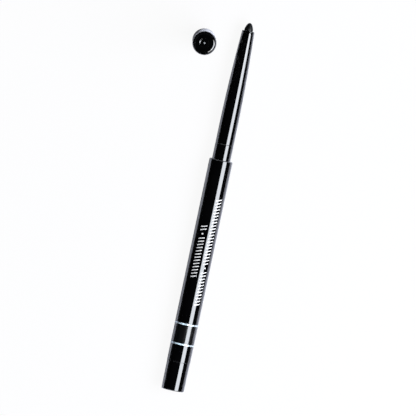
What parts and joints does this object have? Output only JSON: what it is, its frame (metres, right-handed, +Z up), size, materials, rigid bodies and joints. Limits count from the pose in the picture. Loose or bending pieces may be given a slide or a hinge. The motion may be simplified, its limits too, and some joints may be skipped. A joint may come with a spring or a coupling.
{
  "type": "eyeliner pencil",
  "caption": "Slim twist-up eye pencil lying on its side: gloss barrel, satin band between bright rings, tapered cone, rounded lead, turning knob, sharpener plug and loose standing cap.",
  "frame": {"origin": "centre of the flat end face, on the pencil's axis; the surface that the pencil and the standing cap rest on is 4.04 mm below it", "axes": "+Y along the pencil towards the lead's tip, +Z up, +X to the side away from the cap"},
  "size_m": [0.022, 0.1273, 0.05],
  "materials": {
    "gloss_black": "polished moulded plastic",
    "satin_black": "satin",
    "bright_ring": "bright metallised",
    "lead_wax": "waxy, soft sheen",
    "white_plastic": "natural moulded plastic",
    "dark_plastic": "moulded plastic",
    "liner_plastic": "natural soft plastic",
    "seal_rubber": "matt rubber",
    "steel": "ground steel"
  },
  "bodies": {
    "pencil": {"barrel": "gloss_black", "guide_tube": "gloss_black", "front_cone": "gloss_black", "rear_bush": "white_plastic", "cap": "gloss_black", "cap_liner": "liner_plastic"},
    "knob": {"twist_knob": "gloss_black", "lower_ring": "bright_ring", "shade_band": "satin_black", "upper_ring": "bright_ring", "drive_hub": "white_plastic", "thrust_washer": "white_plastic", "friction_ring": "seal_rubber", "retaining_ring": "steel", "screw_spindle": "white_plastic"},
    "feed": {"lead": "lead_wax", "lead_carrier": "white_plastic"},
    "sharpener": {"sharpener_plug": "gloss_black", "sharpener_block": "dark_plastic", "sharpener_blade": "steel", "blade_screw": "steel"}
  },
  "joints": [
    {"name": "knob_twist", "type": "hinge", "parent": "pencil", "child": "knob", "pos_m": [0, 0.0234, 0], "axis": [0, 1, 0], "range_deg": [-360, 1260]},
    {"name": "lead_feed", "type": "slide", "parent": "pencil", "child": "feed", "axis": [0, 1, 0], "range_m": [-0.004, 0.014]},
    {"name": "sharpener_pull", "type": "slide", "parent": "knob", "child": "sharpener", "axis": [0, -1, 0], "range_m": [0, 0.012]}
  ],
  "couplings": [
    {"joint": "knob_twist", "follows": "lead_feed", "rad_per_m": 1570.8}
  ]
}
